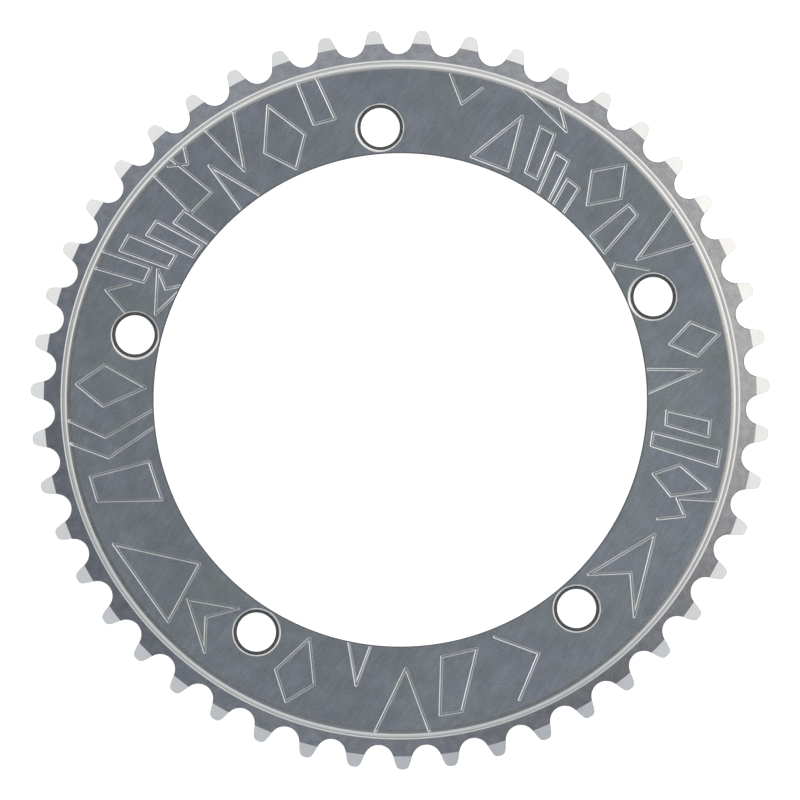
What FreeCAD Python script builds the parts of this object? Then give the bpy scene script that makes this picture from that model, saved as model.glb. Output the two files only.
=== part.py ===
import FreeCAD, Part
import math
import os
from FreeCAD import Vector

# Track chainring, one piece turned and milled from aluminium plate.
# Millimetres. Origin at the centre of the bolt circle on the flat rear face,
# +Z out of the engraved front face, +Y towards the first bolt hole.

# Chain and teeth
tooth_count = 47
chain_pitch = 12.7
roller_seat_radius = 4.0
tip_rise = 2.5
tip_land = 0.55
tip_corner_radius = 1.6
tooth_thickness = 3.0
tip_thickness = 1.5
bevel_reach = 3.6

# Body and the step down to the teeth
body_thickness = 4.7
step_ledge = 1.32
step_edge_chamfer = 1.15
step_edge_drop = 0.5
step_wall_reach = 0.7
step_foot_chamfer = 0.7
step_foot_drop = 0.3
bore_web = 0.5
bore_chamfer = 0.35

# Bolt circle
bolt_circle_diameter = 144.0
bolt_count = 5
bolt_hole_radius = 5.15
seat_radius = 6.0
seat_depth = 1.4
seat_rim = 0.5

# Engraved lines
groove_width = 0.9
groove_floor = 0.4
groove_depth = 0.2

# Sizes that follow
first_angle = 90.0
pitch_radius = chain_pitch / 2 / math.sin(math.pi / tooth_count)
tooth_angle = 360.0 / tooth_count
tip_radius = pitch_radius + tip_rise
root_radius = pitch_radius - roller_seat_radius
step_foot_radius = root_radius - step_ledge
bolt_circle_radius = bolt_circle_diameter / 2
bore_radius = bolt_circle_radius - seat_radius - seat_rim - bore_web

# Room that the cutting shapes have past the faces they cut
overrun = 1.0


def polar(radius, degrees, z=0.0):
    turn = math.radians(degrees)
    return Vector(radius * math.cos(turn), radius * math.sin(turn), z)


def arc_through(start, middle, end):
    return Part.Arc(start, middle, end).toShape()


def line(start, end):
    return Part.LineSegment(start, end).toShape()


def arc_about(centre, radius, from_degrees, to_degrees):
    """Arc in the XY plane about a centre, between two directions."""
    ends = [centre + polar(radius, degrees) for degrees in (from_degrees, to_degrees)]
    middle = centre + polar(radius, (from_degrees + to_degrees) / 2)
    return arc_through(ends[0], middle, ends[1])


def direction(vector):
    return math.degrees(math.atan2(vector.y, vector.x))


# The tooth form


def flank():
    """Straight flank beside a gap on +X, and the corner of the next tip.

    The flank touches the roller seat on one side and the tip corner on the other.
    """
    seat_centre = Vector(pitch_radius, 0, 0)
    tip_start = tooth_angle / 2 - math.degrees(tip_land / 2 / tip_radius)
    corner_centre = polar(tip_radius - tip_corner_radius, tip_start)
    between = corner_centre - seat_centre
    spread = math.acos((roller_seat_radius + tip_corner_radius) / between.Length)
    seat_end = direction(between) + math.degrees(spread)
    flank_start = seat_centre + polar(roller_seat_radius, seat_end)
    flank_end = corner_centre - polar(tip_corner_radius, seat_end)
    corner = arc_about(corner_centre, tip_corner_radius, seat_end - 180.0, tip_start)
    return seat_centre, seat_end, tip_start, [line(flank_start, flank_end), corner]


def tooth_outline():
    """Closed outline of all the teeth, with a tooth centred on the first bolt hole."""
    seat_centre, seat_end, tip_start, rising = flank()
    seat = arc_about(seat_centre, roller_seat_radius, seat_end, 360.0 - seat_end)
    tip = arc_about(Vector(0, 0, 0), tip_radius, tip_start, tooth_angle - tip_start)
    falling = [edge.mirror(Vector(0, 0, 0), Vector(0, 1, 0)) for edge in rising]
    edges = []
    for tooth in range(tooth_count):
        turn = first_angle + tooth_angle * (tooth + 0.5)
        for edge in [seat, tip] + rising + falling:
            edges.append(edge.rotated(Vector(0, 0, 0), Vector(0, 0, 1), turn))
    return Part.Wire(Part.__sortEdges__(edges))


# The turned section


def step_corners():
    """Corners of the step, from the edge of the front face down to the tooth plate."""
    steps = [
        (step_foot_chamfer, step_foot_drop),
        (step_wall_reach, body_thickness - tooth_thickness - step_edge_drop - step_foot_drop),
        (step_edge_chamfer, step_edge_drop),
    ]
    corners = [Vector(step_foot_radius, 0, tooth_thickness)]
    for reach, rise in steps:
        corners.append(corners[-1] + Vector(-reach, 0, rise))
    return corners[::-1]


face_radius = step_corners()[0].x


def turned(corners):
    """Solid turned about +Z from the corners of its section."""
    section = Part.Face(Part.makePolygon(corners + corners[:1]))
    return section.revolve(Vector(0, 0, 0), Vector(0, 0, 1), 360)


def blank():
    """The ring as turned: bore, front face, step, tooth plate and both tip bevels."""
    bevel_start = tip_radius - bevel_reach
    bevel_drop = (tooth_thickness - tip_thickness) / 2
    rim = tip_radius + overrun
    rim_drop = bevel_drop * (rim - bevel_start) / bevel_reach
    chamfered_bore = bore_radius + bore_chamfer
    front = [Vector(bevel_start, 0, tooth_thickness), Vector(rim, 0, tooth_thickness - rim_drop)]
    rear = [
        Vector(rim, 0, rim_drop),
        Vector(bevel_start, 0, 0),
        Vector(chamfered_bore, 0, 0),
        Vector(bore_radius, 0, bore_chamfer),
        Vector(bore_radius, 0, body_thickness - bore_chamfer),
        Vector(chamfered_bore, 0, body_thickness),
    ]
    return turned(step_corners() + front + rear)


# Bolt holes


def bolt_cutter():
    """Through hole with a chamfered seat for the bolt head."""
    floor = body_thickness - seat_depth
    top = body_thickness + overrun
    return turned([
        Vector(0, 0, -overrun),
        Vector(bolt_hole_radius, 0, -overrun),
        Vector(bolt_hole_radius, 0, floor),
        Vector(seat_radius, 0, floor),
        Vector(seat_radius, 0, body_thickness - seat_rim),
        Vector(seat_radius + seat_rim, 0, body_thickness),
        Vector(seat_radius + seat_rim, 0, top),
        Vector(0, 0, top),
    ])


def bolt_cutters():
    cutter = bolt_cutter()
    cutters = []
    for hole in range(bolt_count):
        place = polar(bolt_circle_radius, first_angle + 360.0 / bolt_count * hole)
        cutters.append(cutter.translated(place))
    return cutters


# Engraved figures. A corner is an angle in degrees and a share of the way across
# the front face, from 0 at the bore to 1 at the step.


def at(degrees, share):
    return polar(bore_radius + share * (face_radius - bore_radius), degrees, body_thickness)


def bar(degrees, width, low, high, lean=0.0, taper=1.0):
    """Four-cornered outline that stands across the band and may lean and narrow."""
    foot = width / 2
    top = foot * taper
    return [at(degrees - foot, low), at(degrees + foot, low),
            at(degrees + lean + top, high), at(degrees + lean - top, high)]


def spike(degrees, width, low, high, lean=0.0):
    """Three-cornered outline with its point at the second share."""
    return [at(degrees - width / 2, low), at(degrees + width / 2, low), at(degrees + lean, high)]


def kite(degrees, width, low, waist, high):
    return [at(degrees, low), at(degrees + width / 2, waist),
            at(degrees, high), at(degrees - width / 2, waist)]


def arrowhead(degrees, length, low, high, notch):
    """Outline that points along the band, with a notch in its tail."""
    middle = (low + high) / 2
    return [at(degrees, low), at(degrees + length, middle),
            at(degrees, high), at(degrees + notch, middle)]


def chevron(degrees, length, low, high):
    return [at(degrees, low), at(degrees + length, (low + high) / 2), at(degrees, high)]


def zigzag(degrees, step, shares):
    return [at(degrees + step * turn, share) for turn, share in enumerate(shares)]


closed_figures = [
    bar(101, 4.4, 0.50, 1.2, 1.4, 0.7),
    kite(110, 9, 0.08, 0.42, 0.90),
    spike(118.5, 7, 1.2, 0.36, 1.5),
    spike(122, 8, -0.2, 0.66, 3),
    bar(131, 6, 0.40, 1.2, 0.5, 0.6),
    bar(134.5, 3.2, -0.2, 0.48, 1.6),
    bar(139.5, 3.2, 0.06, 0.66, 1.6),
    bar(144.5, 3.2, 0.24, 0.84, 1.6),
    bar(149.5, 3.2, 0.42, 1.2, 1.6),
    arrowhead(147.5, 9, -0.04, 0.34, 3),
    kite(173, 8, 0.10, 0.60, 0.92),
    bar(194, 9, 0.14, 0.86, -2, 0.5),
    spike(211, 17, 0.88, 0.14, 4),
    arrowhead(228, -9, 0.20, 0.86, -4),
    kite(245, 8, 0.10, 0.60, 0.90),
    spike(256, 8, -0.2, 0.50, 1),
    spike(266, 11, 1.2, 0.26, 1),
    bar(279, 8, 0.16, 0.84, -4, 0.5),
    arrowhead(313, 15, 0.12, 0.86, 6),
    kite(339.5, 6.4, 0.20, 0.48, 0.90),
    bar(347, 3, 0.10, 0.92, -1.5),
    bar(352, 3, 0.24, 0.76, -1.5),
    spike(359.5, 8, -0.2, 0.66, 2),
    kite(7.5, 6.6, 0.34, 0.64, 0.94),
    spike(27.5, 8, 1.2, 0.34, -1),
    bar(34, 5, 0.06, 0.64, 1, 0.5),
    kite(42, 7.6, 0.28, 0.62, 0.94),
    bar(45.5, 3, -0.2, 0.36, 1.6),
    bar(50.5, 3, 0.00, 0.54, 1.6),
    bar(55.5, 3, 0.16, 0.72, 1.6),
    arrowhead(54, 11, 0.82, 1.3, 3.5),
    spike(65, 9, 0.08, 0.74, -2.5),
]
open_figures = [
    zigzag(125, 2.8, [1.2, 0.84, 0.98]),
    zigzag(152.5, 2.8, [0.56, 0.80, 0.50]),
    chevron(178, 5, 0.0, 1.2),
    chevron(182, 5, 0.0, 1.2),
    chevron(287.5, 7, 0.10, 0.90),
    zigzag(331, 2.6, [0.44, 0.72, 0.56, 1.2]),
    chevron(23.5, 4.6, -0.2, 0.40),
    zigzag(71, 3, [0.90, 0.66, 0.98]),
]


def side_of(corners, closed, offset):
    """Corners of a line beside a path. An outer corner sharper than a right angle is cut flat."""
    count = len(corners)
    points = []
    for index, corner in enumerate(corners):
        before = corners[index - 1] if closed or index > 0 else None
        after = corners[(index + 1) % count] if closed or index < count - 1 else None
        arriving = (corner - before).normalize() if before else (after - corner).normalize()
        leaving = (after - corner).normalize() if after else arriving
        beside_arriving = Vector(arriving.y, -arriving.x, 0) * offset
        beside_leaving = Vector(leaving.y, -leaving.x, 0) * offset
        if before is None:
            points.append(corner + beside_leaving - leaving * abs(offset))
        elif after is None:
            points.append(corner + beside_arriving + arriving * abs(offset))
        else:
            turn = arriving.cross(leaving).z
            sharp = arriving.dot(leaving) < 0
            if sharp and turn * offset > 0:
                points.append(corner + beside_arriving + arriving * abs(offset) / 2)
                points.append(corner + beside_leaving - leaving * abs(offset) / 2)
            else:
                middle = beside_arriving + beside_leaving
                points.append(corner + middle * (2 * offset ** 2 / middle.dot(middle)))
    return points


def prism(corners, closed, side):
    """Solid between a line at the face and the narrower line at the groove's floor."""
    top = side_of(corners, closed, side * groove_width / 2)
    floor = side_of(corners, closed, side * groove_floor / 2)
    if not closed:
        top = top + side_of(corners, closed, -side * groove_width / 2)[::-1]
        floor = floor + side_of(corners, closed, -side * groove_floor / 2)[::-1]
    floor = [point - Vector(0, 0, groove_depth) for point in floor]
    wires = [Part.makePolygon(points + points[:1]) for points in (top, floor)]
    return Part.makeLoft(wires, True, True)


def anticlockwise(corners):
    turns = [start.cross(end).z for start, end in zip(corners, corners[1:] + corners[:1])]
    return corners if sum(turns) > 0 else corners[::-1]


def grooves():
    tools = []
    for figure in closed_figures:
        corners = anticlockwise(figure)
        tools.append(prism(corners, True, 1).cut(prism(corners, True, -1)))
    return tools + [prism(corners, False, 1) for corners in open_figures]


def chainring():
    teeth = Part.Face(tooth_outline()).extrude(Vector(0, 0, body_thickness + 2 * overrun))
    teeth.translate(Vector(0, 0, -overrun))
    ring = blank().common(teeth)
    ring = ring.cut(bolt_cutters())
    solids = ring.cut(grooves()).Solids
    return solids[0] if len(solids) == 1 else Part.Compound(solids)


os.makedirs("parts", exist_ok=True)
shape = chainring()
shape.exportStep("parts/chainring.step")
print("solids", len(shape.Solids), "valid", shape.isValid(), "volume", round(shape.Volume, 1))
print("faces", len(shape.Faces), "bore radius", bore_radius, "face radius", round(face_radius, 2))
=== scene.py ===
import math
import bpy
import numpy as np
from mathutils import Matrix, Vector
from mathutils.geometry import delaunay_2d_cdt


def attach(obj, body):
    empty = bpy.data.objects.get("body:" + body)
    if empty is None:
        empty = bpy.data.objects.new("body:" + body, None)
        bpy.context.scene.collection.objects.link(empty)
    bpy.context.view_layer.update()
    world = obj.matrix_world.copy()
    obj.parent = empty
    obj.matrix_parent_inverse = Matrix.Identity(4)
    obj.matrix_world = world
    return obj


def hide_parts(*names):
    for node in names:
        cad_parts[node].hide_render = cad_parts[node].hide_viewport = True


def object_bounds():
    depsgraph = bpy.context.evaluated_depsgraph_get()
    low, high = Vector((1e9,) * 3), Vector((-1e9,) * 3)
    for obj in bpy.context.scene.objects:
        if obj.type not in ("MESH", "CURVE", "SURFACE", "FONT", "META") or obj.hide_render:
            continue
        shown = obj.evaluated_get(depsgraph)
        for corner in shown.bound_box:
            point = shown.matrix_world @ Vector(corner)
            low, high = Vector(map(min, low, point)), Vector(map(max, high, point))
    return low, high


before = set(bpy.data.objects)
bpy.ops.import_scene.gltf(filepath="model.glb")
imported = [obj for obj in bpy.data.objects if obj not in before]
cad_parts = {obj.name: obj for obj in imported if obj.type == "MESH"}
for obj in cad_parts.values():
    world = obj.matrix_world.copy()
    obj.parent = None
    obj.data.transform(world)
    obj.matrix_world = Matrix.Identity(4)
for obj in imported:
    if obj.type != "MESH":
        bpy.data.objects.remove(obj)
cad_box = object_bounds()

# Dressed chainring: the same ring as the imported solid, with rounded and broken
# edges, cut lines and turned and rolled finishes. Lengths here are in millimetres
# and angles in degrees; the mesh is made in metres.

MM = 0.001
NODE = "chainring"

# Chain and teeth
TOOTH_COUNT = 47
CHAIN_PITCH = 12.7
SEAT_RADIUS = 3.93
TIP_RISE = 2.5
SEAT_END = 104.0
FLANK_RADIUS = 11.5
TIP_CORNER = 1.6
PLATE_THICKNESS = 3.0
BEVEL_REACH = 3.6
BEVEL_SLOPE = 11.8
EDGE_BREAK = 0.16

# Body, step and bore
THICKNESS = 4.7
STEP_LEDGE = 1.56
STEP_WALL_REACH = 0.44
STEP_WALL_SLOPE = 42.0
STEP_FOOT_SLOPE = 75.0
FACE_RADIUS = 87.2
PLATE_SLOPE = 3.0
BORE_RADIUS = 65.0
BORE_CHAMFER = 0.35

# Bolt circle
BOLT_CIRCLE = 72.0
BOLT_COUNT = 5
HOLE_RADIUS = 5.15
BOLT_SEAT = 6.0
SEAT_DEPTH = 1.4
SEAT_RIM = 0.36
SEAT_DRAFT = 0.04

# Bolts have worn the rim of each seat to one side: towards which side, in degrees, and how far. The worn side
# also takes the bright turned colour, partly polish and partly a painted highlight.
RIM_WEAR = ((206.0, 0.30), (276.0, 0.30), (6.0, 0.16), (56.0, 0.06), (171.0, 0.36))
WEAR_RADIUS = 6.36
WEAR_SLOPE = 11.0

# The worn edge of the front face, the lip of the step and the fillet at its foot:
# how far each run goes outward and the slope it ends at
STEP_WORN = ((0.45, 4.0), (0.55, 6.5))
STEP_LIP = ((0.06, 11.0), (0.34, 15.0), (0.08, STEP_WALL_SLOPE))
STEP_FILLET = ((0.08, 30.0), (0.08, 15.0), (0.26, 11.0), (0.06, 0.0))

# Cut lines: half widths and depths, from the flat of the face beside the line down to its floor
LINE_REACH = (0.48, 0.41, 0.16)
LINE_DEPTH = (0.0, 0.0, 0.16)

# Room left beside a rounded edge, so that its shading stays off the flat face
FLAT_MARGIN = 0.12

FIRST_ANGLE = 90.0
PITCH_RADIUS = CHAIN_PITCH / 2 / math.sin(math.pi / TOOTH_COUNT)
TOOTH_ANGLE = 360.0 / TOOTH_COUNT
TIP_RADIUS = PITCH_RADIUS + TIP_RISE
BEVEL_START = TIP_RADIUS - BEVEL_REACH
STEP_FOOT = PITCH_RADIUS - SEAT_RADIUS - STEP_LEDGE

# How finely the curves are divided
RING_STEPS = TOOTH_COUNT * 12
HOLE_STEPS = 72
RIM_STEPS = 6
CURVE_DEGREES = 6.5
FLANK_DEGREES = 3.0

# Radii this close count as one, and corners of the plan this close are merged
SAME_RADIUS = 0.01
SAME_POINT = 1e-5


def polar(radius, degrees, centre=(0.0, 0.0)):
    turn = math.radians(degrees)
    return np.array([centre[0] + radius * math.cos(turn), centre[1] + radius * math.sin(turn)])


def bearing(vector):
    return math.degrees(math.atan2(vector[1], vector[0]))


def arc(centre, radius, start, end, step=CURVE_DEGREES):
    """Points along an arc, both ends among them."""
    steps = max(1, math.ceil(abs(end - start) / step))
    return [polar(radius, start + (end - start) * i / steps, centre) for i in range(steps + 1)]


def circle(radius, steps, centre=(0.0, 0.0)):
    return [polar(radius, 360.0 * i / steps, centre) for i in range(steps)]


# The tooth outline


def half_gap(inset):
    """Outline from the bottom of a gap on +X to the middle of the next tip.

    The roller seat runs into the bulging flank, and the flank into the tip's corner.
    """
    seat_centre = np.array([PITCH_RADIUS, 0.0])
    flank_centre = polar(SEAT_RADIUS + FLANK_RADIUS, SEAT_END, seat_centre)
    away = np.linalg.norm(flank_centre)
    corner_away = TIP_RADIUS - TIP_CORNER
    between = FLANK_RADIUS - TIP_CORNER
    apart = math.acos((away ** 2 + corner_away ** 2 - between ** 2) / (2 * away * corner_away))
    corner_angle = bearing(flank_centre) - math.degrees(apart)
    corner_centre = polar(corner_away, corner_angle)
    flank_end = bearing(corner_centre - flank_centre)
    seat = arc(seat_centre, SEAT_RADIUS + inset, 180.0, SEAT_END)
    flank = arc(flank_centre, FLANK_RADIUS - inset, SEAT_END - 180.0, flank_end, FLANK_DEGREES)
    corner = arc(corner_centre, TIP_CORNER - inset, flank_end, corner_angle)
    return seat + flank[1:] + corner[1:] + [polar(TIP_RADIUS - inset, TOOTH_ANGLE / 2)]


def tooth_outline(inset=0.0):
    rising = half_gap(inset)
    falling = [point * np.array([1.0, -1.0]) for point in rising[-2:0:-1]]
    gap = falling + rising
    points = []
    for tooth in range(TOOTH_COUNT):
        turn = math.radians(FIRST_ANGLE + TOOTH_ANGLE * (tooth + 0.5))
        rotation = np.array([[math.cos(turn), -math.sin(turn)], [math.sin(turn), math.cos(turn)]])
        points += [rotation @ point for point in gap]
    return points


# The engraved figures. A corner is an angle and a share of the way across the
# front face, from 0 at the bore to 1 at the step.


def at(degrees, share):
    return polar(BORE_RADIUS + share * (FACE_RADIUS - BORE_RADIUS), degrees)


def bar(degrees, width, low, high, lean=0.0, taper=1.0):
    """Four-cornered outline that stands across the band and may lean and narrow."""
    foot = width / 2
    top = foot * taper
    return [at(degrees - foot, low), at(degrees + foot, low),
            at(degrees + lean + top, high), at(degrees + lean - top, high)]


def spike(degrees, width, low, high, lean=0.0):
    """Three-cornered outline with its point at the second share."""
    return [at(degrees - width / 2, low), at(degrees + width / 2, low), at(degrees + lean, high)]


def kite(degrees, width, low, waist, high):
    return [at(degrees, low), at(degrees + width / 2, waist),
            at(degrees, high), at(degrees - width / 2, waist)]


def arrowhead(degrees, length, low, high, notch):
    """Outline that points along the band, with a notch in its tail."""
    middle = (low + high) / 2
    return [at(degrees, low), at(degrees + length, middle),
            at(degrees, high), at(degrees + notch, middle)]


def chevron(degrees, length, low, high):
    return [at(degrees, low), at(degrees + length, (low + high) / 2), at(degrees, high)]


def zigzag(degrees, step, shares):
    return [at(degrees + step * turn, share) for turn, share in enumerate(shares)]


CLOSED_FIGURES = [
    bar(101, 4.4, 0.50, 1.2, 1.4, 0.7),
    kite(110, 9, 0.08, 0.42, 0.90),
    spike(118.5, 7, 1.2, 0.36, 1.5),
    spike(122, 8, -0.2, 0.66, 3),
    bar(131, 6, 0.40, 1.2, 0.5, 0.6),
    bar(134.5, 3.2, -0.2, 0.48, 1.6),
    bar(139.5, 3.2, 0.06, 0.66, 1.6),
    bar(144.5, 3.2, 0.24, 0.84, 1.6),
    bar(149.5, 3.2, 0.42, 1.2, 1.6),
    arrowhead(147.5, 9, -0.04, 0.34, 3),
    kite(173, 8, 0.10, 0.60, 0.92),
    bar(194, 9, 0.14, 0.86, -2, 0.5),
    spike(211, 17, 0.88, 0.14, 4),
    arrowhead(228, -9, 0.20, 0.86, -4),
    kite(245, 8, 0.10, 0.60, 0.90),
    spike(256, 8, -0.2, 0.50, 1),
    spike(266, 11, 1.2, 0.26, 1),
    bar(279, 8, 0.16, 0.84, -4, 0.5),
    arrowhead(313, 15, 0.12, 0.86, 6),
    kite(339.5, 6.4, 0.20, 0.48, 0.90),
    bar(347, 3, 0.10, 0.92, -1.5),
    bar(352, 3, 0.24, 0.76, -1.5),
    spike(359.5, 8, -0.2, 0.66, 2),
    kite(7.5, 6.6, 0.34, 0.64, 0.94),
    spike(27.5, 8, 1.2, 0.34, -1),
    bar(34, 5, 0.06, 0.64, 1, 0.5),
    kite(42, 7.6, 0.28, 0.62, 0.94),
    bar(45.5, 3, -0.2, 0.36, 1.6),
    bar(50.5, 3, 0.00, 0.54, 1.6),
    bar(55.5, 3, 0.16, 0.72, 1.6),
    arrowhead(54, 11, 0.82, 1.3, 3.5),
    spike(65, 9, 0.08, 0.74, -2.5),
]
OPEN_FIGURES = [
    zigzag(125, 2.8, [1.2, 0.84, 0.98]),
    zigzag(152.5, 2.8, [0.56, 0.80, 0.50]),
    chevron(178, 5, 0.0, 1.2),
    chevron(182, 5, 0.0, 1.2),
    chevron(287.5, 7, 0.10, 0.90),
    zigzag(331, 2.6, [0.44, 0.72, 0.56, 1.2]),
    chevron(23.5, 4.6, -0.2, 0.40),
    zigzag(71, 3, [0.90, 0.66, 0.98]),
]


def right_of(heading):
    return np.array([heading[1], -heading[0]])


def beside(corners, closed, offset):
    """Line at a distance to the right of a path, rounded where it passes outside a corner."""
    count = len(corners)
    headings = [corners[(i + 1) % count] - corners[i] for i in range(count)]
    headings = [heading / np.linalg.norm(heading) for heading in headings]
    points = []
    for i, corner in enumerate(corners):
        if not closed and i in (0, count - 1):
            points.append(corner + right_of(headings[min(i, count - 2)]) * offset)
            continue
        arriving, leaving = headings[i - 1], headings[i]
        turn = arriving[0] * leaving[1] - arriving[1] * leaving[0]
        if turn * offset > 0:
            start = bearing(right_of(arriving) * offset)
            sweep = math.degrees(math.atan2(turn, arriving @ leaving))
            points += arc(corner, abs(offset), start, start + sweep)
        else:
            middle = (right_of(arriving) + right_of(leaving)) * offset
            points.append(corner + middle * (2 * offset ** 2 / (middle @ middle)))
    return points


def round_end(corner, heading, offset):
    """Half circle from the right of a path's end round to its left."""
    start = bearing(right_of(heading))
    return arc(corner, offset, start, start + 180.0)


def groove_loops(offset):
    loops = []
    for corners in CLOSED_FIGURES:
        loops += [beside(corners, True, offset), beside(corners, True, -offset)]
    for corners in OPEN_FIGURES:
        back = corners[::-1]
        loops.append(beside(corners, False, offset)
                     + round_end(corners[-1], corners[-1] - corners[-2], offset)
                     + beside(back, False, offset)
                     + round_end(back[-1], back[-1] - back[-2], offset))
    return loops


def distance_to_path(plan, path):
    """Distance from each point to the nearest run of a path."""
    nearest = np.full(len(plan), np.inf)
    for start, end in zip(path, path[1:]):
        run = end - start
        along = np.clip((plan - start) @ run / (run @ run), 0, 1)
        nearest = np.minimum(nearest, np.linalg.norm(plan - start - along[:, None] * run, axis=1))
    return nearest


def distance_to_figures(plan):
    """Distance from each point to the nearest engraved line."""
    paths = [corners + corners[:1] for corners in CLOSED_FIGURES] + OPEN_FIGURES
    return np.min([distance_to_path(plan, path) for path in paths], axis=0)


# The turned section


def bend(reach, start, end):
    """Steps outward and down along an arc of this reach whose slope goes from start to end."""
    slopes = [math.radians(start), math.radians(end)]
    radius = reach / abs(math.sin(slopes[1]) - math.sin(slopes[0]))
    steps = max(2, math.ceil(abs(end - start) / CURVE_DEGREES))
    angles = [slopes[0] + (slopes[1] - slopes[0]) * i / steps for i in range(steps + 1)]
    return [(radius * abs(math.sin(angle) - math.sin(slopes[0])),
             radius * abs(math.cos(angle) - math.cos(slopes[0]))) for angle in angles]


def bends(runs, slope):
    """Bends that follow one another, from this slope on."""
    parts = []
    for reach, end in runs:
        parts.append(bend(reach, slope, end))
        slope = end
    return parts


def reach_of(runs):
    return sum(reach for reach, _ in runs)


def step_parts():
    """The step from the face down to the plate, as runs outward and down from where each one starts."""
    lip = bends(STEP_WORN + STEP_LIP, 0.0)
    fillet = bends(STEP_FILLET, STEP_FOOT_SLOPE)
    wall_drop = STEP_WALL_REACH * math.tan(math.radians(STEP_WALL_SLOPE))
    steep_drop = THICKNESS - PLATE_THICKNESS - wall_drop - sum(part[-1][1] for part in lip + fillet)
    steep_reach = steep_drop / math.tan(math.radians(STEP_FOOT_SLOPE))
    wall = [[(0.0, 0.0), (STEP_WALL_REACH, wall_drop)], [(0.0, 0.0), (steep_reach, steep_drop)]]
    return lip + wall + fillet


def step_section():
    """Radius and height of the step, from the flat of the front face down to the plate."""
    parts = step_parts()
    radius, height = STEP_FOOT - sum(part[-1][0] for part in parts), THICKNESS
    section = [(radius - FLAT_MARGIN, height), (radius, height)]
    for part in parts:
        section += [(radius + out, height - down) for out, down in part[1:]]
        radius, height = section[-1]
    return section


def lip_start():
    """Radius where the worn edge of the face ends and the lip of the step begins."""
    return step_section()[1][0] + reach_of(STEP_WORN)


def front_section():
    """The front of the ring from the bore to the tips."""
    plate_end = PLATE_THICKNESS - (BEVEL_START - STEP_FOOT) * math.tan(math.radians(PLATE_SLOPE))
    tip = plate_end - BEVEL_REACH * math.tan(math.radians(BEVEL_SLOPE))
    bore = [(BORE_RADIUS, THICKNESS - BORE_CHAMFER), (BORE_RADIUS + BORE_CHAMFER, THICKNESS)]
    return bore + step_section() + [(BEVEL_START, plate_end), (TIP_RADIUS, tip)]


def rear_section():
    tip = BEVEL_REACH * math.tan(math.radians(BEVEL_SLOPE))
    return [(BORE_RADIUS, BORE_CHAMFER), (BORE_RADIUS + BORE_CHAMFER, 0.0),
            (BEVEL_START, 0.0), (TIP_RADIUS, tip)]


def hole_section(front):
    """The section of a bolt hole about its own axis, out to the face."""
    if not front:
        return [(HOLE_RADIUS, EDGE_BREAK), (HOLE_RADIUS + EDGE_BREAK, 0.0)]
    floor = THICKNESS - SEAT_DEPTH
    bore = [(HOLE_RADIUS, floor - EDGE_BREAK), (HOLE_RADIUS + EDGE_BREAK, floor),
            (BOLT_SEAT - SEAT_DRAFT, floor)]
    turns = [math.radians(90.0 / RIM_STEPS * i) for i in range(RIM_STEPS + 1)]
    rim = [(BOLT_SEAT + SEAT_RIM * (1 - math.cos(turn)), THICKNESS - SEAT_RIM * (1 - math.sin(turn)))
           for turn in turns]
    return bore + rim + [(BOLT_SEAT + SEAT_RIM + FLAT_MARGIN, THICKNESS)]


def hole_centres():
    return [polar(BOLT_CIRCLE, FIRST_ANGLE + 360.0 / BOLT_COUNT * i) for i in range(BOLT_COUNT)]


def wear_centre(hole):
    side, shift = RIM_WEAR[hole]
    return polar(shift, side, hole_centres()[hole])


def worn_in(plan, hole):
    """How far each point lies inside the worn circle about a bolt seat."""
    return WEAR_RADIUS - np.linalg.norm(plan - wear_centre(hole), axis=1)


def from_section(radius, section):
    radii, heights = zip(*section)
    return np.interp(radius, radii, heights)


def about_teeth(plan):
    """Each point's distance from the axis, and how many degrees it lies from the middle of its tooth."""
    radius = np.linalg.norm(plan, axis=1)
    angle = np.degrees(np.arctan2(plan[:, 1], plan[:, 0])) - FIRST_ANGLE
    return radius, np.abs((angle + TOOTH_ANGLE / 2) % TOOTH_ANGLE - TOOTH_ANGLE / 2)


def tooth_inset(plan):
    """How far each point lies from the tooth outline."""
    radius, off_middle = about_teeth(plan)
    folded = np.radians(TOOTH_ANGLE / 2 - off_middle)
    return distance_to_path(np.stack([radius * np.cos(folded), radius * np.sin(folded)], 1), half_gap(0.0))


def outside_teeth(plan):
    """True for a point in a gap between teeth or beyond the tips."""
    radius, off_middle = about_teeth(plan)
    outline = half_gap(0.0)
    radii = [np.linalg.norm(point) for point in outline]
    half_widths = [TOOTH_ANGLE / 2 - bearing(point) for point in outline]
    in_gap = (radius > radii[0]) & (off_middle > np.interp(radius, radii, half_widths))
    return (radius > TIP_RADIUS) | in_gap


# The plan, divided into triangles


def inside_circle(loop, limit):
    """The runs of a closed loop that lie within a radius, each as its two ends."""
    runs = []
    for start, end in zip(loop, loop[1:] + loop[:1]):
        step = end - start
        a, b, c = step @ step, start @ step, start @ start - limit ** 2
        if b * b <= a * c:
            continue
        root = math.sqrt(b * b - a * c)
        first, last = max(0.0, (-b - root) / a), min(1.0, (-b + root) / a)
        if first < last:
            runs.append([start + first * step, start + last * step])
    return runs


def line_runs():
    """The edges of the engraved lines, which run out at the lip of the step."""
    return [run for offset in LINE_REACH for loop in groove_loops(offset)
            for run in inside_circle(loop, lip_start())]


def plan_loops():
    """Every line of the plan along which a height, a slope or a finish changes."""
    loops = [tooth_outline(inset) for inset in (0.0, EDGE_BREAK)]
    for radius, _ in front_section()[:-1]:
        loops.append(circle(radius, RING_STEPS))
    for hole, centre in enumerate(hole_centres()):
        for radius, _ in hole_section(True):
            loops.append(circle(radius, HOLE_STEPS, centre))
        for radius in (WEAR_RADIUS, WEAR_RADIUS + FLAT_MARGIN):
            loops.append(circle(radius, HOLE_STEPS, wear_centre(hole)))
    return loops + line_runs()


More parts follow.
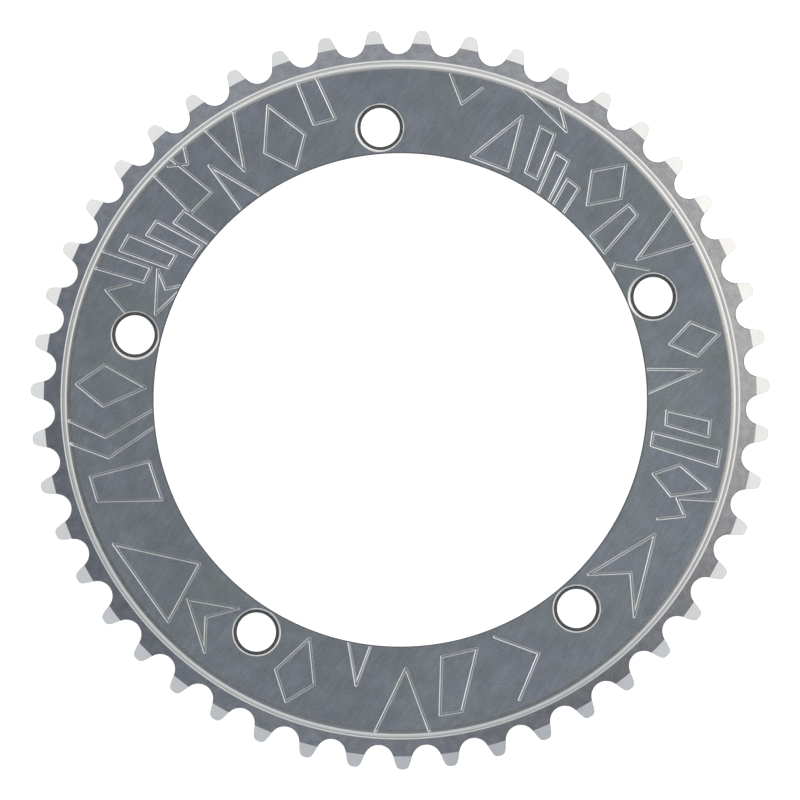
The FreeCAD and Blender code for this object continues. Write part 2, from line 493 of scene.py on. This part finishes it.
def triangulate():
    """Points and triangles of the ring's plan, with every loop and run among the edges."""
    points, edges = [], []
    for loop in plan_loops():
        first, count = len(points), len(loop)
        sides = count if count > 2 else 1
        points += [Vector(point) for point in loop]
        edges += [(first + i, first + (i + 1) % count) for i in range(sides)]
    found = delaunay_2d_cdt(points, edges, [], 0, SAME_POINT, False)
    plan = np.array([tuple(point) for point in found[0]])
    triangles = np.array(found[2])
    middle = plan[triangles].mean(axis=1)
    keep = (np.linalg.norm(middle, axis=1) > BORE_RADIUS) & ~outside_teeth(middle)
    for centre in hole_centres():
        keep &= np.linalg.norm(middle - centre, axis=1) > HOLE_RADIUS * math.cos(math.pi / HOLE_STEPS)
    triangles = triangles[keep]
    used, triangles = np.unique(triangles, return_inverse=True)
    plan, triangles = plan[used], triangles.reshape(-1, 3)
    edge = plan[triangles[:, 1:]] - plan[triangles[:, :1]]
    clockwise = edge[:, 0, 0] * edge[:, 1, 1] - edge[:, 0, 1] * edge[:, 1, 0] < 0
    triangles[clockwise] = triangles[clockwise][:, ::-1]
    return plan, triangles


def heights(plan, front):
    """Height of one side of the ring over each point of its plan."""
    radius = np.linalg.norm(plan, axis=1)
    up = 1 if front else -1
    height = from_section(radius, front_section() if front else rear_section()) * up
    broken = np.clip(1 - tooth_inset(plan) / EDGE_BREAK, 0, 1) * EDGE_BREAK
    height -= np.where(radius > STEP_FOOT, broken, 0)
    for hole, centre in enumerate(hole_centres()):
        section = hole_section(front)
        away = np.linalg.norm(plan - centre, axis=1)
        inside = away < section[-1][0]
        bored = from_section(away, section) * up
        height[inside] = np.minimum(height[inside], bored[inside])
        if front:
            worn = np.maximum(worn_in(plan, hole), 0)
            height = np.minimum(height, THICKNESS - worn * math.tan(math.radians(WEAR_SLOPE)))
    if front:
        depth = np.interp(distance_to_figures(plan), LINE_REACH[::-1], LINE_DEPTH[::-1])
        engraved = (depth > 0) & (radius < lip_start() - SAME_RADIUS)
        height = np.where(engraved, np.minimum(height, THICKNESS - depth), height)
    return height * up


def boundary(triangles):
    """Edges with a triangle on one side only, in the direction of that triangle."""
    edges = np.concatenate([triangles[:, [0, 1]], triangles[:, [1, 2]], triangles[:, [2, 0]]])
    known = set(map(tuple, edges.tolist()))
    return [edge for edge in edges.tolist() if (edge[1], edge[0]) not in known]


# Regions of finish. The SEAT, WALL and STEP_WALL colours are darkened as painted shade.
FACE, WORN, PLATE, BRIGHT, STEP_WALL, CUT, WALL, SEAT = range(8)


def regions_of_teeth(middle, radius, region):
    region[radius > BEVEL_START] = BRIGHT
    edge = (radius > STEP_FOOT) & (tooth_inset(middle) < EDGE_BREAK)
    # Broken edges of the teeth take the WALL colour, and beyond the bevel's start the STEP_WALL one, both
    # darkened as painted shade.
    region[edge] = np.where(radius[edge] > BEVEL_START, STEP_WALL, WALL)


def front_regions(plan, triangles):
    """Which finish each triangle of the front has."""
    middle = plan[triangles].mean(axis=1)
    radius = np.linalg.norm(middle, axis=1)
    region = np.full(len(triangles), FACE)
    to_line = distance_to_figures(middle)
    region[(to_line < LINE_REACH[1]) & (to_line > LINE_REACH[2])] = CUT
    step_start = step_section()[1][0]
    region[radius > step_start] = WORN
    region[radius > lip_start()] = BRIGHT
    region[radius > lip_start() + reach_of(STEP_LIP)] = STEP_WALL
    region[radius > STEP_FOOT - reach_of(STEP_FILLET[1:])] = BRIGHT
    region[radius > STEP_FOOT] = PLATE
    region[radius < BORE_RADIUS + BORE_CHAMFER] = WALL
    for hole, centre in enumerate(hole_centres()):
        away = np.linalg.norm(middle - centre, axis=1)
        region[away < BOLT_SEAT + SEAT_RIM] = CUT
        # The worn side of each seat rim takes the bright turned colour: partly the polish of wear, partly a
        # painted highlight where the light glints off that side.
        region[(worn_in(middle, hole) > 0) & (away > BOLT_SEAT + SEAT_RIM / 4)] = BRIGHT
        # The seat floor takes a colour darkened as painted shade.
        region[away < BOLT_SEAT] = SEAT
        region[away < HOLE_RADIUS + EDGE_BREAK] = WALL
    regions_of_teeth(middle, radius, region)
    return region


def rear_regions(plan, triangles):
    middle = plan[triangles].mean(axis=1)
    radius = np.linalg.norm(middle, axis=1)
    region = np.full(len(triangles), FACE)
    region[radius < BORE_RADIUS + BORE_CHAMFER] = WALL
    regions_of_teeth(middle, radius, region)
    return region


def ring_mesh():
    plan, triangles = triangulate()
    count = len(plan)
    front = np.column_stack([plan, heights(plan, True)])
    rear = np.column_stack([plan, heights(plan, False)])
    rim = boundary(triangles)
    walls = [(b, a, a + count, b + count) for a, b in rim]
    faces = triangles.tolist() + (triangles[:, ::-1] + count).tolist() + walls
    regions = np.concatenate([front_regions(plan, triangles), rear_regions(plan, triangles),
                              np.full(len(walls), WALL)])
    mesh = bpy.data.meshes.new("chainring_finish")
    mesh.from_pydata((np.concatenate([front, rear]) * MM).tolist(), [], faces)
    mesh.polygons.foreach_set("material_index", regions.astype(np.int32))
    mesh.shade_smooth()
    return mesh


# Shading is split along edges that turn by more than this, and along the start of the bevel
CREASE = 30.0


def mark_creases(mesh):
    mesh.set_sharp_from_angle(angle=math.radians(CREASE))
    radius = np.array([math.hypot(v.co.x, v.co.y) for v in mesh.vertices]) / MM
    crease = np.abs(radius - BEVEL_START) < SAME_RADIUS
    for edge in mesh.edges:
        if crease[edge.vertices[0]] and crease[edge.vertices[1]]:
            edge.use_edge_sharp = True


def weigh_normals(piece):
    modifier = piece.modifiers.new("weighted_normals", "WEIGHTED_NORMAL")
    modifier.mode = "FACE_AREA"
    modifier.keep_sharp = True


# Finishes. A noise's scale is in features to the metre.


class Nodes:
    """Short calls for a node tree."""

    # Sockets of a Mix node that mixes colours, by their place among all of its sockets
    MIX_SHARE, MIX_FIRST, MIX_SECOND, MIX_RESULT = 0, 6, 7, 2

    def __init__(self, tree):
        self.tree = tree
        tree.nodes.clear()

    def add(self, kind, inputs=None, **settings):
        node = self.tree.nodes.new(kind)
        for name, value in settings.items():
            setattr(node, name, value)
        for name, value in (inputs or {}).items():
            self.feed(node, name, value)
        return node

    def feed(self, node, name, value):
        socket = node.inputs[name]
        if isinstance(value, bpy.types.NodeSocket):
            self.tree.links.new(value, socket)
        else:
            socket.default_value = value

    def show(self, kind, shader):
        """Joins a shader to an output of this kind."""
        self.tree.links.new(shader.outputs[0], self.add(kind).inputs["Surface"])

    def math(self, operation, *values):
        return self.add("ShaderNodeMath", dict(enumerate(values)), operation=operation).outputs[0]

    def noise(self, vector, scale, detail=3.0, roughness=0.5):
        node = self.add("ShaderNodeTexNoise", {"Vector": vector, "Scale": scale,
                                               "Detail": detail, "Roughness": roughness})
        return node.outputs["Fac"]

    def between(self, value, low, high):
        """Spreads a noise value over a range."""
        node = self.add("ShaderNodeMapRange", {"Value": value, "From Min": 0.3, "From Max": 0.7,
                                               "To Min": low, "To Max": high})
        return node.outputs["Result"]

    def blend(self, share, first, second):
        node = self.add("ShaderNodeMix", data_type="RGBA")
        self.feed(node, self.MIX_SHARE, share)
        self.feed(node, self.MIX_FIRST, first)
        self.feed(node, self.MIX_SECOND, second)
        return node.outputs[self.MIX_RESULT]


def new_material(name):
    material = bpy.data.materials.new(name)
    material.use_nodes = True
    return material, Nodes(material.node_tree)


def metal(name, build):
    material, nodes = new_material(name)
    place = nodes.add("ShaderNodeTexCoord").outputs["Object"]
    shader = nodes.add("ShaderNodeBsdfPrincipled", {"Metallic": 1.0})
    build(nodes, place, shader)
    nodes.show("ShaderNodeOutputMaterial", shader)
    return material


def streaked(nodes, place, degrees, length, width):
    """A noise drawn out along one direction of the face, with features of this size in metres."""
    lined_up = nodes.add("ShaderNodeMapping", {
        "Vector": place, "Rotation": (0, 0, math.radians(degrees)),
        "Scale": (length, width, width)}, vector_type="TEXTURE")
    return nodes.noise(lined_up.outputs[0], 1.0, 3.0, 0.6)


def across(nodes, place, degrees, low, high):
    """Runs evenly from one level to the other along one direction of the ring; used to paint in light and
    shade that fall more on one side.
    """
    turn = math.radians(degrees)
    along = nodes.add("ShaderNodeVectorMath", {0: place, 1: (math.cos(turn), math.sin(turn), 0)},
                      operation="DOT_PRODUCT").outputs["Value"]
    half = TIP_RADIUS * MM
    return nodes.add("ShaderNodeMapRange", {"Value": along, "From Min": -half, "From Max": half,
                                            "To Min": low, "To Max": high}).outputs["Result"]


def ringed(nodes, place, scale):
    """A noise that changes only with the distance from the ring's axis and the height."""
    x, y, z = nodes.add("ShaderNodeSeparateXYZ", {"Vector": place}).outputs
    squares = nodes.math("ADD", nodes.math("MULTIPLY", x, x), nodes.math("MULTIPLY", y, y))
    section = nodes.add("ShaderNodeCombineXYZ", {"X": nodes.math("SQRT", squares), "Z": z}).outputs[0]
    return nodes.noise(section, scale, 2.0, 0.6)


def shaded(nodes, colour, *levels):
    """A colour made lighter or darker by each of the levels in turn."""
    for level in levels:
        scaled = nodes.add("ShaderNodeVectorMath", {0: colour, "Scale": level}, operation="SCALE")
        colour = scaled.outputs[0]
    return colour


def roughened(nodes, shader, height, strength, depth):
    bump = nodes.add("ShaderNodeBump", {"Height": height, "Strength": strength, "Distance": depth})
    nodes.feed(shader, "Normal", bump.outputs[0])


def rolled_face(nodes, place, shader):
    """Rolled plate: cloudy grey with faint slanting streaks, and painted shading that makes it lighter
    towards the right, where the studio light falls.
    """
    clouds = nodes.noise(place, 170.0, 5.0, 0.6)
    patches = nodes.noise(place, 75.0, 4.0, 0.55)
    broad = streaked(nodes, place, 52.0, 0.0060, 0.0012)
    fine = streaked(nodes, place, 46.0, 0.0026, 0.0004)
    specks = nodes.noise(place, 1900.0, 2.0, 0.6)
    tint = nodes.blend(nodes.between(patches, 0, 1), (0.397, 0.461, 0.482, 1), (0.430, 0.467, 0.560, 1))
    # The first level is painted shading, lighter towards the right; the rest are the plate's own patchy,
    # cloudy, streaked and specked tone.
    nodes.feed(shader, "Base Color", shaded(
        nodes, tint, across(nodes, place, -25.0, 0.95, 1.06),
        nodes.between(nodes.noise(place, 24.0, 2.0), 0.95, 1.05), nodes.between(clouds, 0.90, 1.10),
        nodes.between(broad, 0.93, 1.07), nodes.between(fine, 0.95, 1.05), nodes.between(specks, 0.89, 1.11)))
    nodes.feed(shader, "Roughness", nodes.between(fine, 0.29, 0.31))
    roughened(nodes, shader, nodes.noise(place, 2600.0, 2.0), 0.12, 0.00005)


def turned(nodes, place, shader):
    """The tooth plate: lathe-turned, specked and cloudy in tint, and bluer towards the left as a painted cool
    cast for the dim side of the studio light.
    """
    rings = ringed(nodes, place, 5200.0)
    clouds = nodes.noise(place, 90.0, 3.0, 0.6)
    specks = nodes.noise(place, 2300.0, 2.0, 0.6)
    # Cloudy shifts of tint, plus a painted cool cast that grows towards the left, for the dim side of the
    # studio light.
    bluer = nodes.math("ADD", nodes.between(clouds, -0.3, 0.3), across(nodes, place, 20.0, 1.0, 0.0))
    tint = nodes.blend(bluer, (0.750, 0.772, 0.812, 1), (0.710, 0.758, 0.850, 1))
    nodes.feed(shader, "Base Color", shaded(
        nodes, tint, nodes.between(rings, 0.93, 1.07), nodes.between(specks, 0.93, 1.07),
        nodes.between(nodes.noise(place, 420.0, 3.0), 0.88, 1.12)))
    nodes.feed(shader, "Roughness", nodes.between(clouds, 0.195, 0.215))
    roughened(nodes, shader, rings, 0.10, 0.00004)


def bright_turned(nodes, place, shader):
    """Bevels, lip and foot of the step: fine, bright turning."""
    rings = ringed(nodes, place, 5200.0)
    clouds = nodes.noise(place, 130.0, 3.0, 0.6)
    tint = nodes.blend(nodes.between(clouds, 0, 1), (0.83, 0.84, 0.83, 1), (0.79, 0.80, 0.81, 1))
    nodes.feed(shader, "Base Color", shaded(nodes, tint, nodes.between(rings, 0.96, 1.04)))
    nodes.feed(shader, "Roughness", nodes.between(clouds, 0.13, 0.16))
    roughened(nodes, shader, rings, 0.08, 0.00004)


def worn_edge(nodes, place, shader):
    """The edge of the front face, polished by handling."""
    scuffs = nodes.noise(place, 700.0, 4.0, 0.6)
    tint = nodes.blend(nodes.between(scuffs, 0, 1), (0.74, 0.76, 0.76, 1), (0.68, 0.70, 0.71, 1))
    nodes.feed(shader, "Base Color", tint)
    nodes.feed(shader, "Roughness", nodes.between(scuffs, 0.19, 0.23))
    roughened(nodes, shader, scuffs, 0.08, 0.00004)


def step_wall(nodes, place, shader):
    """The step's wall and the broken edges of the tips: a duller and warmer turned finish, its colour
    darkened as painted shade for the dim reflections of a steep wall.
    """
    rings = ringed(nodes, place, 4200.0)
    tint = nodes.blend(nodes.between(rings, 0, 1), (0.555, 0.56, 0.55, 1), (0.495, 0.50, 0.495, 1))
    nodes.feed(shader, "Base Color", tint)
    nodes.feed(shader, "Roughness", nodes.between(rings, 0.26, 0.32))
    roughened(nodes, shader, rings, 0.15, 0.00005)


def freshly_cut(nodes, place, shader):
    """The bright walls of the engraved lines and the rims of the bolt seats, with painted shading that
    darkens them towards the lower left.
    """
    chatter = nodes.noise(place, 1500.0, 2.0)
    tint = nodes.blend(nodes.between(chatter, 0, 1), (0.90, 0.91, 0.90, 1), (0.82, 0.83, 0.83, 1))
    # The first level is painted shading, darker towards the lower left; the second is patchy tone.
    nodes.feed(shader, "Base Color", shaded(
        nodes, tint, across(nodes, place, 30.0, 0.76, 1.10),
        nodes.between(nodes.noise(place, 75.0, 2.0), 0.72, 1.12)))
    nodes.feed(shader, "Roughness", nodes.between(chatter, 0.11, 0.15))
    roughened(nodes, shader, chatter, 0.08, 0.00004)


def milled_wall(nodes, place, shader):
    """Walls and broken edges left by the cutter's side, with marks across the thickness; their dark colour is
    painted shade.
    """
    drawn_out = nodes.add("ShaderNodeMapping", {"Vector": place, "Scale": (1.0, 1.0, 0.06)}).outputs[0]
    marks = nodes.noise(drawn_out, 1800.0, 2.0)
    tint = nodes.blend(nodes.between(marks, 0, 1), (0.10, 0.105, 0.115, 1), (0.15, 0.155, 0.165, 1))
    nodes.feed(shader, "Base Color", tint)
    nodes.feed(shader, "Roughness", nodes.between(marks, 0.34, 0.46))
    roughened(nodes, shader, marks, 0.20, 0.00005)


def bored_seat(nodes, place, shader):
    """Floor of a bolt seat, rougher than the face, its colour darkened as painted shade for the shadowed
    recess.
    """
    chatter = nodes.noise(place, 900.0, 3.0)
    tint = nodes.blend(nodes.between(chatter, 0, 1), (0.16, 0.165, 0.17, 1), (0.20, 0.205, 0.21, 1))
    nodes.feed(shader, "Base Color", tint)
    nodes.feed(shader, "Roughness", nodes.between(chatter, 0.32, 0.42))
    roughened(nodes, shader, chatter, 0.15, 0.00005)


def finishes():
    """In the order of FACE, WORN, PLATE, BRIGHT, STEP_WALL, CUT, WALL and SEAT."""
    return [metal("rolled_aluminium", rolled_face), metal("worn_aluminium", worn_edge),
            metal("turned_aluminium", turned), metal("bright_turned_aluminium", bright_turned),
            metal("step_wall_aluminium_painted_shade", step_wall), metal("cut_aluminium", freshly_cut),
            metal("milled_aluminium_painted_shade", milled_wall), metal("bored_aluminium_painted_shade", bored_seat)]


def add_chainring():
    mesh = ring_mesh()
    for material in finishes():
        mesh.materials.append(material)
    mark_creases(mesh)
    piece = bpy.data.objects.new("chainring_finish", mesh)
    bpy.context.scene.collection.objects.link(piece)
    weigh_normals(piece)
    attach(piece, "root")
    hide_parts(NODE)


# Camera: straight above the ring. The photograph's scale, its turn and the ring's
# place in it are measured on the picture, in its 800 pixels, from its upper left corner.
IMAGE_SIZE = 800
MM_PER_PIXEL = 0.26347
RING_CENTRE_PIXEL = (400.28, 399.90)
PHOTO_TURN = 4.21
CAMERA_DISTANCE = 5.0
CLIP_END = 10.0
SENSOR = 36.0


# Studio: the floor's half width and the gap under the ring are in metres
FLOOR_HALF = 1.5
FLOOR_GAP = 0.0001
FLOOR_GLOW = 0.75


def floor_material():
    material, nodes = new_material("paper_floor")
    place = nodes.add("ShaderNodeTexCoord").outputs["Object"]
    fibre = nodes.noise(place, 800.0, 3.0)
    shader = nodes.add("ShaderNodeBsdfPrincipled", {
        "Roughness": 0.9, "Emission Color": (1.0, 1.0, 1.0, 1), "Emission Strength": FLOOR_GLOW})
    nodes.feed(shader, "Base Color", nodes.blend(fibre, (0.93, 0.93, 0.93, 1), (0.95, 0.95, 0.95, 1)))
    nodes.show("ShaderNodeOutputMaterial", shader)
    return material


def add_floor():
    level = cad_box[0].z - FLOOR_GAP
    corners = [(x * FLOOR_HALF, y * FLOOR_HALF, level) for x, y in ((-1, -1), (1, -1), (1, 1), (-1, 1))]
    mesh = bpy.data.meshes.new("floor")
    mesh.from_pydata(corners, [], [(0, 1, 2, 3)])
    mesh.materials.append(floor_material())
    floor = bpy.data.objects.new("floor", mesh)
    bpy.context.scene.collection.objects.link(floor)


# Brightness of the studio dome by degrees from straight up, at its bright and at its dark places
DOME = [
    (0, 0.05, 0.0),
    (6, 0.62, 0.0),
    (12, 1.02, 0.02),
    (18, 1.13, 0.20),
    (25, 1.18, 0.54),
    (34, 1.12, 0.58),
    (48, 1.0, 0.35),
    (60, 1.15, 0.16),
    (70, 1.15, 0.16),
    (82, 1.0, 0.30),
    (90, 1.0, 0.30),
]

# How bright each side of the dome is, by degrees anticlockwise in the picture:
# overhead, at the edge of that, round the top, half way down, low down and at the horizon
OVERHEAD = [(0, 1.12), (15, 1.22), (30, 0.70), (45, 0.0), (60, 0.08), (90, 0.25), (120, 0.38),
            (150, 0.14), (180, 0.14), (210, 0.05), (240, 0.14), (255, 0.78), (270, 0.74), (285, 0.0),
            (330, 0.0), (345, 0.10), (360, 1.12)]
EDGE = [(0, 0.95), (20, 0.95), (45, 0.50), (60, 0.60), (90, 0.65), (120, 0.55), (150, 0.12),
        (210, 0.0), (240, 0.15), (270, 0.15), (300, 0.0), (330, 0.25), (360, 0.95)]
SIDES = [(0, 0.80), (30, 1.0), (60, 0.76), (90, 0.57), (105, 0.46), (120, 0.52), (135, 0.69),
         (150, 0.73), (180, 0.56), (210, 0.27), (240, 0.16), (270, 0.06), (285, 0.0), (300, 0.07),
         (330, 0.5), (360, 0.80)]
MIDDLE = [(0, 0.95), (120, 0.95), (150, 0.75), (180, 0.65), (210, 0.30), (240, 0.80), (270, 0.85),
          (300, 0.25), (330, 0.90), (360, 0.95)]
LOW = [(0, 0.95), (30, 1.0), (60, 0.88), (90, 0.55), (120, 0.45), (150, 0.42), (180, 0.38),
       (210, 0.33), (240, 0.27), (270, 0.15), (300, 0.40), (320, 0.80), (340, 1.0), (360, 0.95)]
HORIZON = [(0, 0.10), (30, 0.40), (60, 0.85), (90, 0.95), (120, 0.75), (150, 0.40), (180, 0.35),
           (210, 0.85), (270, 0.95), (300, 0.90), (330, 0.0), (360, 0.10)]

# Where each of them holds, in degrees from straight up; they pass into each other in between
LEVELS = [(0, 7, OVERHEAD), (11, 14, EDGE), (19, 26, SIDES), (34, 50, MIDDLE), (58, 72, LOW),
          (80, 90, HORIZON)]

# Its bright places are warm and its dark ones cool overhead; the tint fades out between these degrees
TINT_END = (10, 40)
COOL = (0.89, 0.985, 1.14, 1)
WARM = (1.085, 1.0, 0.89, 1)
NEUTRAL = (1.0, 1.0, 1.0, 1)


def curve(nodes, value, points):
    """Straight runs through points given as degrees and level; the value is in radians."""
    level = points[0][1]
    for before, after in zip(points, points[1:]):
        step = nodes.add("ShaderNodeMapRange", {
            "Value": value, "From Min": math.radians(before[0]), "From Max": math.radians(after[0]),
            "To Min": 0.0, "To Max": after[1] - before[1]}).outputs["Result"]
        level = nodes.math("ADD", level, step)
    return level


def add_dome():
    """World light: dark overhead and bright round the sides, most of all to the upper right."""
    world = bpy.data.worlds.new("studio_dome")
    bpy.context.scene.world = world
    world.use_nodes = True
    nodes = Nodes(world.node_tree)
    direction = nodes.add("ShaderNodeTexCoord").outputs["Generated"]
    x, y, z = nodes.add("ShaderNodeSeparateXYZ", {"Vector": direction}).outputs
    tilt = nodes.math("ARCCOSINE", z)
    turned_by = nodes.math("ADD", nodes.math("ARCTAN2", y, x), math.radians(PHOTO_TURN))
    side = nodes.math("WRAP", turned_by, 2 * math.pi, 0.0)
    share = curve(nodes, side, LEVELS[0][2])
    for (_, end, _), (start, _, points) in zip(LEVELS, LEVELS[1:]):
        passed = curve(nodes, tilt, [(end, 0.0), (start, 1.0)])
        change = nodes.math("SUBTRACT", curve(nodes, side, points), share)
        share = nodes.math("ADD", share, nodes.math("MULTIPLY", change, passed))
    bright = curve(nodes, tilt, [(row[0], row[1]) for row in DOME])
    dark = curve(nodes, tilt, [(row[0], row[2]) for row in DOME])
    level = nodes.math("ADD", nodes.math("MULTIPLY", bright, share),
                       nodes.math("MULTIPLY", dark, nodes.math("SUBTRACT", 1.0, share)))
    paled = curve(nodes, tilt, [(TINT_END[0], 0.0), (TINT_END[1], 1.0)])
    tint = nodes.blend(paled, nodes.blend(share, COOL, WARM), NEUTRAL)
    background = nodes.add("ShaderNodeBackground", {"Color": tint, "Strength": level})
    nodes.show("ShaderNodeOutputWorld", background)


def add_camera():
    data = bpy.data.cameras.new("camera")
    data.sensor_width = SENSOR
    data.lens = SENSOR * CAMERA_DISTANCE / (IMAGE_SIZE * MM_PER_PIXEL * MM)
    data.clip_end = CLIP_END
    turn = math.radians(-PHOTO_TURN)
    right = Vector((math.cos(turn), math.sin(turn), 0))
    up = Vector((-math.sin(turn), math.cos(turn), 0))
    aside = (IMAGE_SIZE / 2 - RING_CENTRE_PIXEL[0]) * MM_PER_PIXEL * MM
    below = (IMAGE_SIZE / 2 - RING_CENTRE_PIXEL[1]) * MM_PER_PIXEL * MM
    camera = bpy.data.objects.new("camera", data)
    camera.location = right * aside - up * below + Vector((0, 0, CAMERA_DISTANCE + THICKNESS * MM))
    camera.rotation_euler = (0, 0, turn)
    bpy.context.scene.collection.objects.link(camera)
    bpy.context.scene.camera = camera


def plain_colours():
    settings = bpy.context.scene.view_settings
    settings.view_transform = "Standard"
    settings.look = "None"


add_camera()
add_chainring()
add_floor()
add_dome()
plain_colours()
